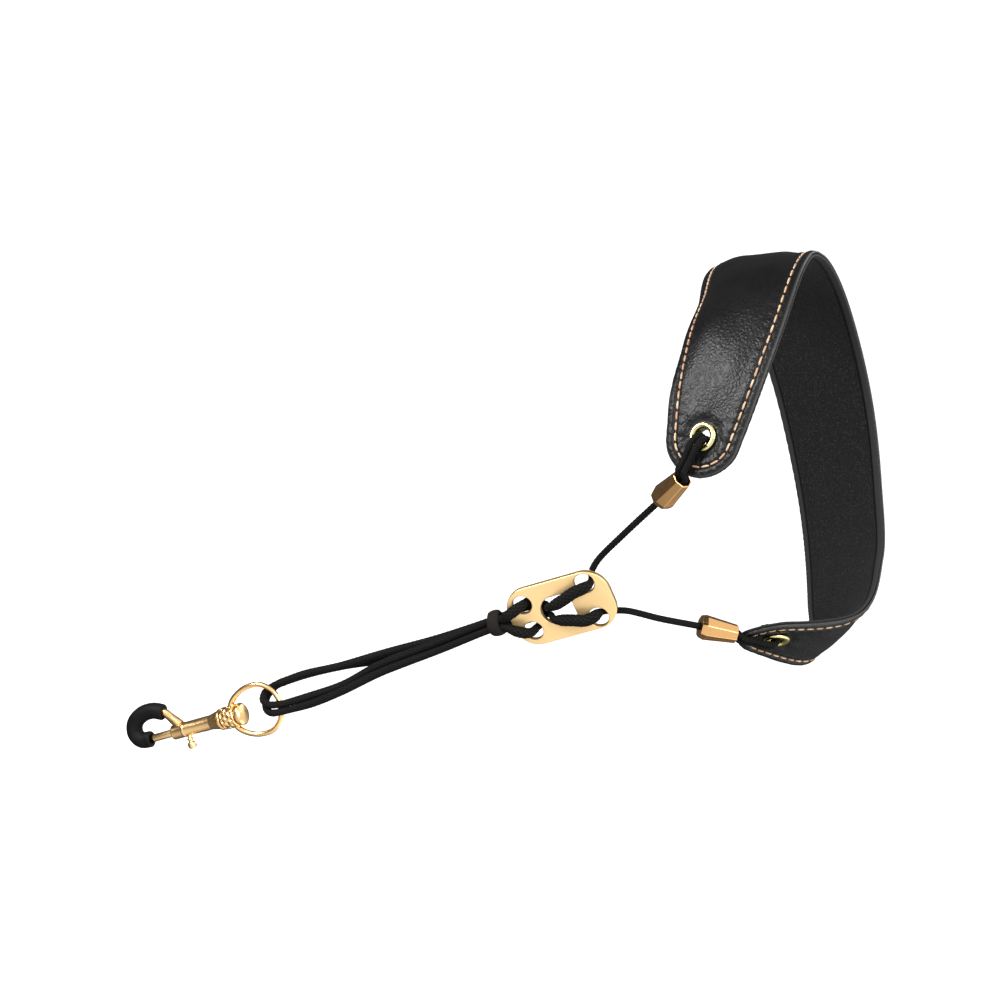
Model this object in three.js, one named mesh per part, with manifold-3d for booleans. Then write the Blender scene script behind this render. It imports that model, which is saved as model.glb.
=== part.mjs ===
// Saxophone neck strap, hanging as it is worn.
// Millimetres, +Z up, -Y to the front of the player. The origin is the middle of
// the lining face behind the neck, where the neck carries the strap.
import * as THREE from 'three';
import { mergeVertices } from 'three/addons/utils/BufferGeometryUtils.js';
import Module from 'manifold-3d';

// ---- driving dimensions ----
const PAD_HALF_WIDTH = 25;
const PAD_TAPER = 95;            // length over which each end narrows
const PAD_NOSE = 13;             // radius-like length of the rounded tip
const LINING_T = 0.9;
const LEATHER_T = 1.2;
const LAYER_GAP = 0.3;
const PUFF = 2.4;                // extra height of the foam in the middle
const FOAM_INSET = 8;            // foam stops this far inside the edge
const FOAM_SKIP = 9;            // stations without foam at each tip
const FOAM_SLACK = 1.1;          // below the leather, so that the flat cells stay clear
const PAD_STATIONS = 40;
const STITCH_INSET = 4.4;
const THREAD_D = 0.7;
const EYELET_FROM_TIP = 16.5;
const EYELET_BORE_R = 3.4;
const EYELET_HOLE_R = 4.4;
const TIE_D = 2.3;
const CORD_D = 2.8;
const BELL_LENGTH = 16.5;
const PLATE_CENTRE = new THREE.Vector3(1, -139, -109.3);
const PLATE_YAW = -16;           // degrees about Z
const PLATE_L = 47.4;
const PLATE_W = 27.4;
const PLATE_T = 2.6;
const PLATE_CORNER_R = 10.5;
const TOP_HOLE = { x: 8.3, z: 14, r: 4.4 };
const LOW_HOLE = { x: 6.4, z: -15.8, r: 4.2 };
const SNAP_ORIGIN = new THREE.Vector3(9.8, -139.8, -300.5);
const SNAP_YAW = -34;            // degrees about Z
const TUBE_R = 3.4;
const BOLT_R = 1.8;
const BOLT_BORE_R = 2.15;
const WIRE_R = 1.15;

// The pad's inner-face centre line from the left tip round the neck to the right tip,
// and the direction across the pad, towards its upper edge, at the same stations.
const RAIL = [
  [-48.5, -144.4, -26.6], [-74.9, -110.4, -5.3], [-80.8, -72.8, 6.8], [-66.5, -36.5, 6.9],
  [-37.4, -10, 4.6], [0, 0, 0], [37.2, -9.6, -4.7], [65.5, -36.5, -9],
  [80.4, -74.4, -12.4], [79.7, -111.5, -18.2], [48.5, -129.5, -46.3],
];
const ACROSS = [
  [0.15, -0.44, 0.89], [0.1, -0.38, 0.92], [-0.05, -0.2, 0.97], [0.16, -0.16, 0.97],
  [0.22, -0.28, 0.92], [0.12, -0.36, 0.92], [-0.09, -0.38, 0.92], [-0.32, -0.32, 0.89],
  [-0.45, -0.19, 0.87], [-0.59, -0.14, 0.79], [-0.49, -0.38, 0.78],
];

const wasm = await Module();
wasm.setup();

// ---- helpers ----
const v3 = (a) => new THREE.Vector3(...a);

function merged(geometry) {
  const g = geometry.index ? geometry.toNonIndexed() : geometry.clone();
  g.deleteAttribute('normal');
  g.deleteAttribute('uv');
  return mergeVertices(g, 1e-4);
}

function volume(g) {
  const p = g.attributes.position;
  const a = new THREE.Vector3();
  const b = new THREE.Vector3();
  const c = new THREE.Vector3();
  let sum = 0;
  for (let i = 0; i < g.index.count; i += 3) {
    a.fromBufferAttribute(p, g.index.getX(i));
    b.fromBufferAttribute(p, g.index.getX(i + 1));
    c.fromBufferAttribute(p, g.index.getX(i + 2));
    sum += a.dot(b.cross(c));
  }
  return sum;
}

// One welded surface with its faces pointing out.
function closed(geometry) {
  const g = merged(geometry);
  if (volume(g) < 0) {
    const index = g.index.array;
    for (let i = 0; i < index.length; i += 3) {
      [index[i], index[i + 1]] = [index[i + 1], index[i]];
    }
  }
  return g;
}

function toManifold(geometry) {
  const g = closed(geometry);
  return new wasm.Manifold(new wasm.Mesh({
    numProp: 3,
    vertProperties: new Float32Array(g.attributes.position.array),
    triVerts: new Uint32Array(g.index.array),
  }));
}

function fromManifold(m) {
  const mesh = m.getMesh();
  const g = new THREE.BufferGeometry();
  g.setAttribute('position', new THREE.BufferAttribute(new Float32Array(mesh.vertProperties), 3));
  g.setIndex(new THREE.BufferAttribute(new Uint32Array(mesh.triVerts), 1));
  return g;
}

function cut(geometry, ...tools) {
  let m = toManifold(geometry);
  for (const t of tools) {
    m = m.subtract(toManifold(t));
  }
  return fromManifold(m);
}

function join(geometry, ...others) {
  let m = toManifold(geometry);
  for (const o of others) {
    m = m.add(toManifold(o));
  }
  return fromManifold(m);
}

function disc(radius, sides) {
  const pts = [];
  for (let i = 0; i < sides; i += 1) {
    const a = (i / sides) * 2 * Math.PI;
    pts.push(new THREE.Vector2(radius * Math.cos(a), radius * Math.sin(a)));
  }
  return new THREE.Shape(pts);
}

function tube(points, diameter, steps, sides = 8) {
  const path = new THREE.CatmullRomCurve3(points, false, 'centripetal');
  return new THREE.ExtrudeGeometry(disc(diameter / 2, sides), {
    extrudePath: path, steps, bevelEnabled: false,
  });
}

// A lathe turned so that its axis is +Z; the profile is a list of [radius, height].
function turned(profile, segments) {
  const g = new THREE.LatheGeometry(profile.map((p) => new THREE.Vector2(...p)), segments);
  return g.rotateX(Math.PI / 2);
}

// Moves a geometry so that its +Z runs along `axis` from `origin`.
function along(geometry, origin, axis, roll = 0) {
  const q = new THREE.Quaternion().setFromUnitVectors(new THREE.Vector3(0, 0, 1), axis);
  return geometry.rotateZ(roll).applyQuaternion(q).translate(origin.x, origin.y, origin.z);
}

const strap = new THREE.Group();
strap.name = 'saxophone_neck_strap';

function material(color, roughness, metalness) {
  return new THREE.MeshStandardMaterial({ color, roughness, metalness });
}
const leatherBlack = () => material(0x1b1b1c, 0.55, 0);
const liningGrey = () => material(0x2a2a2a, 0.95, 0);
const foamGrey = () => material(0x33353a, 0.9, 0);
const threadTan = () => material(0xd9ab84, 0.8, 0);
const paleBrass = () => material(0xe9d98c, 0.25, 1);
const bronze = () => material(0xb07a45, 0.35, 1);
const cordBlack = () => material(0x121212, 0.9, 0);
const paleGold = () => material(0xfad593, 0.2, 1);
const warmGold = () => material(0xe2ad62, 0.22, 1);
const rubberBlack = () => material(0x151515, 0.8, 0);
const steel = () => material(0xb9bcc0, 0.3, 1);

function add(name, geometry, mat, parent = strap) {
  const mesh = new THREE.Mesh(closed(geometry), mat);
  mesh.name = name;
  parent.add(mesh);
  return mesh;
}

// ---- pad ----
const rail = new THREE.CatmullRomCurve3(RAIL.map(v3), false, 'catmullrom', 0.5);
rail.arcLengthDivisions = 600;
const across = new THREE.CatmullRomCurve3(ACROSS.map(v3), false, 'catmullrom', 0.5);
const PAD_LENGTH = rail.getLength();

// Frame of the pad at arc length s: point on the lining face, tangent, across, outward.
function padFrame(s) {
  const t = rail.getUtoTmapping(THREE.MathUtils.clamp(s / PAD_LENGTH, 0, 1));
  const point = rail.getPoint(t);
  const tangent = rail.getTangent(t);
  const w = across.getPoint(t);
  w.addScaledVector(tangent, -w.dot(tangent)).normalize();
  const n = new THREE.Vector3().crossVectors(w, tangent);
  return { point, tangent, w, n };
}

function halfWidth(s, inset = 0) {
  const d = Math.max(Math.min(s, PAD_LENGTH - s) - inset, 0);
  const t = Math.min((d + inset) / PAD_TAPER, 1);
  const taper = PAD_HALF_WIDTH * (0.56 + 0.44 * Math.sin((t * Math.PI) / 2)) - inset;
  const k = (PAD_NOSE - Math.min(d, PAD_NOSE)) / PAD_NOSE;
  return Math.max(taper * Math.sqrt(1 - k * k), 2.2);
}

// Extra height between lining and leather: a soft crown that fades at every edge.
function crown(s, lateral) {
  const end = Math.min(s, PAD_LENGTH - s);
  const side = halfWidth(s) - Math.abs(lateral);
  return PUFF * THREE.MathUtils.smoothstep(side, 5, 13) * THREE.MathUtils.smoothstep(end, 26, 60);
}

function padPoint(s, lateral, height) {
  const f = padFrame(s);
  return f.point.addScaledVector(f.w, lateral).addScaledVector(f.n, height);
}

// Arc length of station i, closer together towards the tips.
function stationAt(i) {
  const u = i / PAD_STATIONS;
  return PAD_LENGTH * (0.2 * u + 0.8 * (0.5 - 0.5 * Math.cos(Math.PI * u)));
}

// A layer of the pad: a box of cells bent round the rail, between two height functions.
// It leaves out `skip` stations at each tip.
function padLayer(skip, inset, lower, upper, cells) {
  const count = PAD_STATIONS - 2 * skip;
  const g = new THREE.BoxGeometry(2, 1, 1, cells, 1, count);
  const p = g.attributes.position;
  for (let i = 0; i < p.count; i += 1) {
    const s = stationAt(skip + Math.round((p.getZ(i) + 0.5) * count));
    const share = p.getX(i);
    const lateral = Math.abs(share) < 0.9 ? 1.2 * share : share;
    const x = lateral * halfWidth(s, inset);
    const height = p.getY(i) > 0 ? upper(s, x) : lower(s, x);
    const q = padPoint(s, x, height);
    p.setXYZ(i, q.x, q.y, q.z);
  }
  return g;
}

function eyeletHole(s) {
  const f = padFrame(s);
  const g = new THREE.CylinderGeometry(EYELET_HOLE_R, EYELET_HOLE_R, 20, 20).rotateX(Math.PI / 2);
  return along(g, f.point, f.n);
}

const leftEyeletS = EYELET_FROM_TIP;
const rightEyeletS = PAD_LENGTH - EYELET_FROM_TIP;
const leatherBase = LINING_T + LAYER_GAP;

function buildPad() {
  const holes = () => [eyeletHole(leftEyeletS), eyeletHole(rightEyeletS)];
  const lining = padLayer(0, 0, () => 0, () => LINING_T, 6);
  add('pad_lining', cut(lining, ...holes()), liningGrey());
  const leather = padLayer(
    0, 0,
    (s, x) => leatherBase + crown(s, x),
    (s, x) => leatherBase + LEATHER_T + crown(s, x), 6,
  );
  add('pad_outer_leather', cut(leather, ...holes()), leatherBlack());
  const foam = padLayer(
    FOAM_SKIP, FOAM_INSET,
    () => leatherBase + 0.15,
    (s, x) => leatherBase + Math.max(crown(s, x) - FOAM_SLACK, 0.4), 6,
  );
  add('pad_foam_core', foam, foamGrey());
}

// Closed line of points a fixed distance inside the pad's edge.
function seamLoop(inset, height, count) {
  const pts = [];
  const from = inset;
  const to = PAD_LENGTH - inset;
  for (let i = 0; i < count; i += 1) {
    const a = (i / count) * 2 * Math.PI;
    const u = 0.5 - 0.5 * Math.cos(a);
    const s = from + (to - from) * u;
    const side = Math.sin(a) >= 0 ? 1 : -1;
    const fade = THREE.MathUtils.smoothstep(Math.abs(Math.sin(a)), 0, 0.35);
    const lateral = side * halfWidth(s, inset) * (i % (count / 2) === 0 ? 0 : Math.max(fade, 0.35));
    pts.push(padPoint(s, lateral, height(s, lateral)));
  }
  return new THREE.CatmullRomCurve3(pts, true, 'centripetal');
}

function buildSeams() {
  const lift = THREAD_D / 2 + 0.5;
  const onLeather = (s, x) => leatherBase + LEATHER_T + crown(s, x) + lift;
  const outer = seamLoop(STITCH_INSET, onLeather, 72);
  const path = { extrudePath: outer, steps: 110, bevelEnabled: false };
  add('pad_stitching_thread', new THREE.ExtrudeGeometry(disc(THREAD_D / 2, 4), path), threadTan());
}

// ---- eyelets ----
function buildEyelet(side, s) {
  const f = padFrame(s);
  const top = leatherBase + LEATHER_T;
  const eyelet = turned([
    [EYELET_BORE_R, -1.9], [4.9, -1.9], [5.1, -1.5], [4, -1.45], [4, top + 0.4],
    [5.9, top + 0.4], [5.7, top + 0.95], [4.9, top + 1.25], [3.9, top + 1.1],
    [EYELET_BORE_R, top + 0.6], [EYELET_BORE_R, -1.9],
  ], 20);
  add(`${side}_eyelet`, along(eyelet, f.point, f.n), paleBrass());
  const washer = turned([
    [4.35, -0.45], [6.3, -0.45], [6.3, -0.95], [4.35, -1.15], [4.35, -0.45],
  ], 20);
  add(`${side}_eyelet_washer`, along(washer, f.point, f.n), paleBrass());
}

// ---- cord ends ----
// The tie loop: out of the bell, over the front of the pad, through the eyelet, down the
// back, round as a bight and up again to the bell.
function tieLoop(side, s, mouth, axis) {
  const f = padFrame(s);
  const run = mouth.clone().sub(f.point);
  const reach = run.clone().addScaledVector(f.n, -run.dot(f.n));
  const g = reach.length();
  const a = reach.normalize();
  const c = new THREE.Vector3().crossVectors(f.n, a);
  const at = (x, y, z) => f.point.clone()
    .addScaledVector(c, x).addScaledVector(a, y).addScaledVector(f.n, z);
  const inBell = (x, depth) => mouth.clone().addScaledVector(c, x).addScaledVector(axis, depth);
  const half = (k) => [
    inBell(1.4 * k, 3), inBell(1.4 * k, 0), at(1.45 * k, g - 2.4, 4.9), at(1.45 * k, g - 8, 5.1),
    at(1.5 * k, 5, 5.5), at(1.5 * k, 1.4, 4.6), at(1.5 * k, 0.2, 1.6), at(1.5 * k, 0.7, -1.4),
    at(1.8 * k, 2.9, -3.5), at(2.1 * k, 6, -3.3),
  ];
  const first = half(1);
  const second = half(-1).reverse();
  const bight = [at(1.6, 8.9, -2.6), at(0, 10.2, -2.3), at(-1.6, 8.9, -2.6)];
  add(`${side}_tie_loop`, tube([...first, ...bight, ...second], TIE_D, 44), cordBlack());
}

function buildBell(side, mouth, axis, roll) {
  const bell = turned([
    [3.5, 0], [4, 0.1], [4.1, 0.6], [5.5, 13.4], [4.6, BELL_LENGTH], [2.1, BELL_LENGTH],
    [2.1, 12], [3.9, 10.4], [3.9, 4.8], [3.5, 3.6], [3.5, 0],
  ], 8);
  add(`${side}_cord_bell`, along(bell, mouth, axis, roll), bronze());
  const knot = new THREE.SphereGeometry(2.7, 10, 6);
  const centre = mouth.clone().addScaledVector(axis, 7.1);
  add(`${side}_knot`, along(knot, centre, axis), cordBlack());
}

function buildLegCord(side, mouth, axis, plateEnd) {
  const start = mouth.clone().addScaledVector(axis, 10.3);
  const leave = mouth.clone().addScaledVector(axis, BELL_LENGTH + 1);
  const mid = leave.clone().lerp(plateEnd[0], 0.5);
  add(`${side}_leg_cord`, tube([start, leave, mid, ...plateEnd], CORD_D, 12), cordBlack());
}

// ---- adjuster ----
function frameOf(origin, yawDegrees) {
  const yaw = THREE.MathUtils.degToRad(yawDegrees);
  return (x, y, z) => new THREE.Vector3(x, y, z)
    .applyAxisAngle(new THREE.Vector3(0, 0, 1), yaw).add(origin);
}
const onPlate = frameOf(PLATE_CENTRE, PLATE_YAW);
const onSnap = frameOf(SNAP_ORIGIN, SNAP_YAW);

function roundedRect(w, h, r, cx = 0, cy = 0) {
  const s = new THREE.Shape();
  const x = cx - w / 2;
  const y = cy - h / 2;
  s.moveTo(x + r, y);
  s.lineTo(x + w - r, y);
  s.absarc(x + w - r, y + r, r, -Math.PI / 2, 0);
  s.lineTo(x + w, y + h - r);
  s.absarc(x + w - r, y + h - r, r, 0, Math.PI / 2);
  s.lineTo(x + r, y + h);
  s.absarc(x + r, y + h - r, r, Math.PI / 2, Math.PI);
  s.lineTo(x, y + r);
  s.absarc(x + r, y + r, r, Math.PI, Math.PI * 1.5);
  return s;
}

function roundHole(x, y, r) {
  const p = new THREE.Path();
  p.absarc(x, y, r, 0, 2 * Math.PI, true);
  return p;
}

// The middle opening: a half round below and a straight lip above.
function middleHole() {
  const p = new THREE.Path();
  p.moveTo(6.4, -2.8);
  p.lineTo(6.4, 4);
  p.absarc(4.9, 4.1, 1.5, 0, Math.PI / 2);
  p.lineTo(-4.9, 5.6);
  p.absarc(-4.9, 4.1, 1.5, Math.PI / 2, Math.PI);
  p.lineTo(-6.4, -2.8);
  p.absarc(0, -2.8, 6.4, Math.PI, 2 * Math.PI);
  return p;
}

function buildPlate() {
  const bevel = 0.4;
  const shape = roundedRect(
    PLATE_W - 2 * bevel, PLATE_L - 2 * bevel, PLATE_CORNER_R - bevel,
  );
  for (const k of [-1, 1]) {
    shape.holes.push(roundHole(k * TOP_HOLE.x, TOP_HOLE.z, TOP_HOLE.r + bevel));
    shape.holes.push(roundHole(k * LOW_HOLE.x, LOW_HOLE.z, LOW_HOLE.r + bevel));
  }
  shape.holes.push(middleHole());
  const g = new THREE.ExtrudeGeometry(shape, {
    depth: PLATE_T - 2 * bevel, curveSegments: 5, bevelEnabled: true,
    bevelThickness: bevel, bevelSize: bevel, bevelSegments: 1,
  });
  g.translate(0, 0, -PLATE_T / 2 + bevel).rotateX(Math.PI / 2);
  g.rotateZ(THREE.MathUtils.degToRad(PLATE_YAW));
  g.translate(PLATE_CENTRE.x, PLATE_CENTRE.y, PLATE_CENTRE.z);
  add('adjuster_plate', g, paleGold());
}

// Each cord crosses the plate's face from a top hole to the middle opening.
function buildCrossing(side, k, entry) {
  const pts = [
    ...entry, [8.6, -0.2, 16.1], [8, -2.8, 13.8], [6.6, -3.5, 9], [5, -3.5, 4],
    [3.4, -3.3, -1], [2.5, -2.5, -4.4], [2.3, 0.4, -5.7], [2.5, 3.4, -8.1], [2.8, 3.5, -15], [3, 3.5, -21],
  ];
  const path = pts.map((p) => onPlate(p[0] * k, p[1], p[2]));
  add(`${side}_plate_crossing_cord`, tube(path, CORD_D, 24), cordBlack());
}

function buildBridge() {
  const half = (k, end, over) => [
    end, over, [6.3 * k, -1.4, -17.4], [6.2 * k, 1.6, -14.4], [5.8 * k, 4.9, -12.5], [3 * k, 6.8, -11.8],
  ];
  const left = half(-1, [-3.5, -2.9, -25.4], [-5, -3.4, -21.6]);
  const right = half(1, [0.7, -3.1, -25.4], [3.6, -3.5, -21.6]);
  const pts = [...left, [0, 7, -11.8], ...right.reverse()];
  const path = pts.map((p) => onPlate(...p));
  add('plate_bridge_cord', tube(path, CORD_D, 28), cordBlack());
}

// ---- bundle of four strands ----
const KEEPER_CENTRE = [-8.9, -4.3, 160.6];
const STRANDS = {
  back_left: { top: [-3, 3.5, -21.8], turn: [-8.8, 3.4, 48.5],
    via: [[-10.6, -2.6, 160.6], [-9, 0.4, 130], [-9, 1.2, 101], [-8.7, 1.9, 80], [-9.5, 2.5, 62]] },
  back_right: { top: [3, 3.5, -21.8], turn: [-8.1, 6.6, 48.5],
    via: [[-7.2, -2.6, 160.6], [-5.5, 1.4, 130], [-6.1, 3.6, 101], [-8.1, 5.3, 80], [-8.8, 5.9, 62]] },
  front_left: { top: [-3.3, -1.9, -26.9], turn: [0.2, -3.3, 49.5],
    via: [[-10.6, -6, 160.6], [-7.6, -3.2, 130], [-4.9, -2.2, 101], [-0.6, -1, 80], [0.2, -2, 64]] },
  front_right: { top: [0.1, -2.6, -26.9], turn: [3.5, -3.4, 49.5],
    via: [[-7.2, -6, 160.6], [-4.1, -3.6, 130], [-1.7, -4, 101], [1.8, -4, 80], [3.5, -3.5, 64]] },
};

function buildStrands() {
  for (const [name, s] of Object.entries(STRANDS)) {
    const path = [onPlate(...s.top), ...s.via.map((p) => onSnap(...p)), onSnap(...s.turn)];
    add(`${name}_strand`, tube(path, CORD_D, 18), cordBlack());
  }
}

function buildTurns() {
  const left = [
    [-8.8, 3.4, 48], [-8.3, 3.2, 44.5], [-6.6, 2.1, 40.2], [-3.6, -1.2, 39.9],
    [-1, -3.2, 43.2], [0.2, -3.3, 49],
  ];
  const right = [
    [-8.1, 6.6, 48], [-7, 6.3, 43.5], [-3.4, 3.9, 39.1], [0.6, -0.2, 39.5],
    [2.9, -3.1, 43.2], [3.5, -3.4, 49],
  ];
  add('left_ring_turn_cord', tube(left.map((p) => onSnap(...p)), CORD_D, 12), cordBlack());
  add('right_ring_turn_cord', tube(right.map((p) => onSnap(...p)), CORD_D, 12), cordBlack());
}

function buildKeeper() {
  const shape = new THREE.Shape().absellipse(0, 0, 6.3, 5.9, 0, 2 * Math.PI);
  shape.holes.push(new THREE.Path().absellipse(0, 0, 5.1, 4.7, 0, 2 * Math.PI, true));
  const g = new THREE.ExtrudeGeometry(shape, {
    depth: 4, curveSegments: 9, bevelEnabled: true,
    bevelThickness: 0.3, bevelSize: 0.3, bevelSegments: 1,
  });
  g.translate(KEEPER_CENTRE[0], KEEPER_CENTRE[1], KEEPER_CENTRE[2] - 2);
  g.rotateZ(THREE.MathUtils.degToRad(SNAP_YAW));
  g.translate(SNAP_ORIGIN.x, SNAP_ORIGIN.y, SNAP_ORIGIN.z);
  add('cord_keeper_band', g, cordBlack());
}

// ---- snap hook ----
const snap = new THREE.Group();
snap.position.copy(SNAP_ORIGIN);
snap.rotation.z = THREE.MathUtils.degToRad(SNAP_YAW);
strap.add(snap);

const local = (list) => list.map(([x, z]) => new THREE.Vector3(x, 0, z));

function buildSwivelEye() {
  const half = [
    [0, 46.9], [6, 45.3], [10.4, 40.4], [11.3, 34.6], [9.8, 28.4], [6, 23.2], [1, 21.2],
  ];
  const left = half.slice(1).reverse().map((p) => [-p[0], p[1]]);
  const path = new THREE.CatmullRomCurve3(local([...left, ...half]), false, 'centripetal');
  const ring = new THREE.ExtrudeGeometry(disc(WIRE_R, 8), {
    extrudePath: path, steps: 32, bevelEnabled: false,
  });
  const base = turned([
    [0, 17.4], [4.9, 17.4], [5.2, 18], [5.2, 20.6], [4.9, 21], [5.2, 21.4], [5.2, 24], [4.9, 24.6],
    [0, 24.6],
  ], 20);
  const bore = new THREE.CylinderGeometry(2.1, 2.1, 12, 16).rotateX(Math.PI / 2).translate(0, 0, 21);
  add('swivel_eye_ring', cut(join(ring, base), bore), warmGold(), snap);
}

function buildRivet() {
  const rivet = turned([
    [0, 12.2], [1.7, 12.2], [1.7, 25], [4.7, 25], [5.2, 25.6], [5.2, 27.2], [4.4, 28.1], [0, 28.3],
  ], 20);
  add('swivel_rivet', rivet, warmGold(), snap);
}

const HOOK = [
  [-2.6, -5.6], [-6.4, -8.4], [-10.2, -11.6], [-12.3, -16.8], [-12, -22.8], [-9, -27.8],
  [-4.4, -29.3], [-0.8, -27.2], [0.1, -21.8],
];

function buildSnapBody() {
  const shell = turned([
    [0, -9.8], [TUBE_R, -9.8], [TUBE_R, 10.8], [4.6, 15.6], [4.9, 15.9], [4.9, 17], [0, 17],
  ], 20);
  const hookPath = new THREE.CatmullRomCurve3(local(HOOK), false, 'centripetal');
  const hook = new THREE.ExtrudeGeometry(disc(2.1, 10), {
    extrudePath: hookPath, steps: 20, bevelEnabled: false,
  });
  const bore = new THREE.CylinderGeometry(BOLT_BORE_R, BOLT_BORE_R, 26, 16)
    .rotateX(Math.PI / 2).translate(0, 0, -2.4);
  const socket = new THREE.CylinderGeometry(2, 2, 6, 16).rotateX(Math.PI / 2).translate(0, 0, 14.8);
  const slot = new THREE.BoxGeometry(4, 2.7, 10.6).translate(4, 0, 0.7);
  add('snap_body', cut(join(shell, hook), bore, socket, slot), warmGold(), snap);
}

function buildSleeve() {
  const path = new THREE.CatmullRomCurve3(local(HOOK.slice(2)), false, 'centripetal');
  const shape = disc(3.75, 12);
  shape.holes.push(disc(2.6, 8));
  const g = new THREE.ExtrudeGeometry(shape, { extrudePath: path, steps: 15, bevelEnabled: false });
  add('hook_sleeve', g, rubberBlack(), snap);
}

function buildBolt() {
  const bolt = turned([[0, -20.9], [1.5, -20.9], [BOLT_R, -20.5], [BOLT_R, 0.9], [0, 0.9]], 16);
  add('snap_bolt', bolt, warmGold(), snap);
  const knob = turned([
    [0, 2.15], [1.05, 2.15], [1.05, 6.2], [1.9, 6.6], [2, 8.4], [1.5, 9.2], [0, 9.3],
  ], 14);
  add('bolt_thumb_knob', knob.rotateY(Math.PI / 2).translate(0, 0, -2.6), warmGold(), snap);
}

function buildSpring() {
  const pts = [];
  for (let i = 0; i <= 40; i += 1) {
    const a = (i / 40) * 8 * Math.PI;
    pts.push(new THREE.Vector3(1.35 * Math.cos(a), 1.35 * Math.sin(a), 1.6 + (i / 40) * 8.2));
  }
  add('bolt_spring', tube(pts, 0.5, 44, 4), steel(), snap);
}

// ---- assembly ----
buildPad();
buildSeams();
buildEyelet('left', leftEyeletS);
buildEyelet('right', rightEyeletS);

// Where each leg cord meets the plate's back, in plate coordinates mirrored to +X.
const legs = [
  { side: 'left', k: -1, s: leftEyeletS, mouth: v3([-49.3, -143.3, -32]),
    behind: [[14.4, 3.9, 21.6], [11.2, 3.6, 17.9]], entry: [[10.5, 3.4, 17.2], [9.5, 2.3, 16.7]] },
  { side: 'right', k: 1, s: rightEyeletS, mouth: v3([45.6, -133.2, -48.2]),
    behind: [[11.2, 3.9, 25], [9.3, 3.6, 19.8]], entry: [[9.1, 3.5, 19], [8.9, 2.5, 17.4]] },
];
for (const leg of legs) {
  const behind = leg.behind.map((p) => onPlate(p[0] * leg.k, p[1], p[2]));
  const axis = behind[0].clone().sub(leg.mouth).normalize();
  tieLoop(leg.side, leg.s, leg.mouth, axis);
  buildBell(leg.side, leg.mouth, axis, Math.PI / 8);
  buildLegCord(leg.side, leg.mouth, axis, behind);
  buildCrossing(leg.side, leg.k, leg.entry);
}
buildPlate();
buildBridge();
buildStrands();
buildTurns();
buildKeeper();
buildSwivelEye();
buildRivet();
buildSnapBody();
buildSleeve();
buildBolt();
buildSpring();

export default strap;
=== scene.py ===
import math

import bpy
import numpy as np
from mathutils import Matrix, Vector


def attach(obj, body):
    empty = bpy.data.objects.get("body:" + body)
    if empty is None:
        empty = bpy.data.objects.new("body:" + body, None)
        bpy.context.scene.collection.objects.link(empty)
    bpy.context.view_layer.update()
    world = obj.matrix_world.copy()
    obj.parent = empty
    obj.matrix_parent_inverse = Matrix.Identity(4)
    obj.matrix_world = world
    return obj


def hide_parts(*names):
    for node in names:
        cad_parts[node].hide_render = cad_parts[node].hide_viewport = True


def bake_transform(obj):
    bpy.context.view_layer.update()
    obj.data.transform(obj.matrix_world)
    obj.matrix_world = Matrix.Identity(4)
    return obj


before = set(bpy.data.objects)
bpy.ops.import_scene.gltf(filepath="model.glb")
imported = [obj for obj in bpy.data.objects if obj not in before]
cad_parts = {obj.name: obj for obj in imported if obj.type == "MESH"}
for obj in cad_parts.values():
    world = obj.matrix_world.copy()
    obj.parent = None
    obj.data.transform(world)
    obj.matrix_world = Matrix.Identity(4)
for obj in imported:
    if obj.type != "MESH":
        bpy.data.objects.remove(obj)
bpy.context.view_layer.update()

# Lists and functions below work in millimetres in the shared frame; meshes are made in metres.
MM = 0.001
TAU = 2 * math.pi

# ---- dimensions: the CAD part's, but for the strands (2.8 there) and the ring wire (1.15 there) ----
PAD_HALF_WIDTH, PAD_TAPER, PAD_NOSE = 25, 95, 13
LINING_T, LEATHER_T, LAYER_GAP, PUFF = 0.9, 1.2, 0.3, 1.9
EYELET_FROM_TIP, EYELET_BORE_R, EYELET_HOLE_R = 16.5, 3.4, 4.4
STITCH_INSET, STITCH_PITCH, STITCH_LENGTH = 4.2, 4.3, 3.4
TIE_D, CORD_D, STRAND_D = 2.3, 2.8, 3.3
BELL_LENGTH = 16.5
PLATE_CENTRE, PLATE_YAW = (1, -139, -109.3), -16
PLATE_L, PLATE_W, PLATE_T, PLATE_CORNER_R = 47.4, 27.4, 2.6, 10.5
SNAP_ORIGIN, SNAP_YAW = (9.8, -139.8, -300.5), -34
TUBE_R, BOLT_R, BOLT_BORE_R, WIRE_R = 3.4, 1.8, 2.15, 1.2
LEATHER_BASE = LINING_T + LAYER_GAP
KEEPER_CENTRE = (-8.9, -4.3, 160.6)
FLOOR_Z, FLOOR_HALF = -520, 60000

# the camera, in metres, and the two directions that set its roll
CAMERA_PLACE = (-0.53919, -0.80448, 0.214)
CAMERA_RIGHT = (0.4234088, 0.0945066, 0.9009958)
CAMERA_AHEAD = (0.5592502, 0.7551566, -0.3420201)
CAMERA_LENS, CAMERA_SENSOR, CAMERA_SHIFT = 77.6, 36, (-0.06, 0.013)

RAIL = [
    (-48.5, -144.4, -26.6), (-74.9, -110.4, -5.3), (-80.8, -72.8, 6.8), (-66.5, -36.5, 6.9),
    (-37.4, -10, 4.6), (0, 0, 0), (37.2, -9.6, -4.7), (65.5, -36.5, -9),
    (80.4, -74.4, -12.4), (79.7, -111.5, -18.2), (48.5, -129.5, -46.3),
]
ACROSS = [
    (0.15, -0.44, 0.89), (0.1, -0.38, 0.92), (-0.05, -0.2, 0.97), (0.16, -0.16, 0.97),
    (0.22, -0.28, 0.92), (0.12, -0.36, 0.92), (-0.09, -0.38, 0.92), (-0.32, -0.32, 0.89),
    (-0.45, -0.19, 0.87), (-0.59, -0.14, 0.79), (-0.49, -0.38, 0.78),
]


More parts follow.
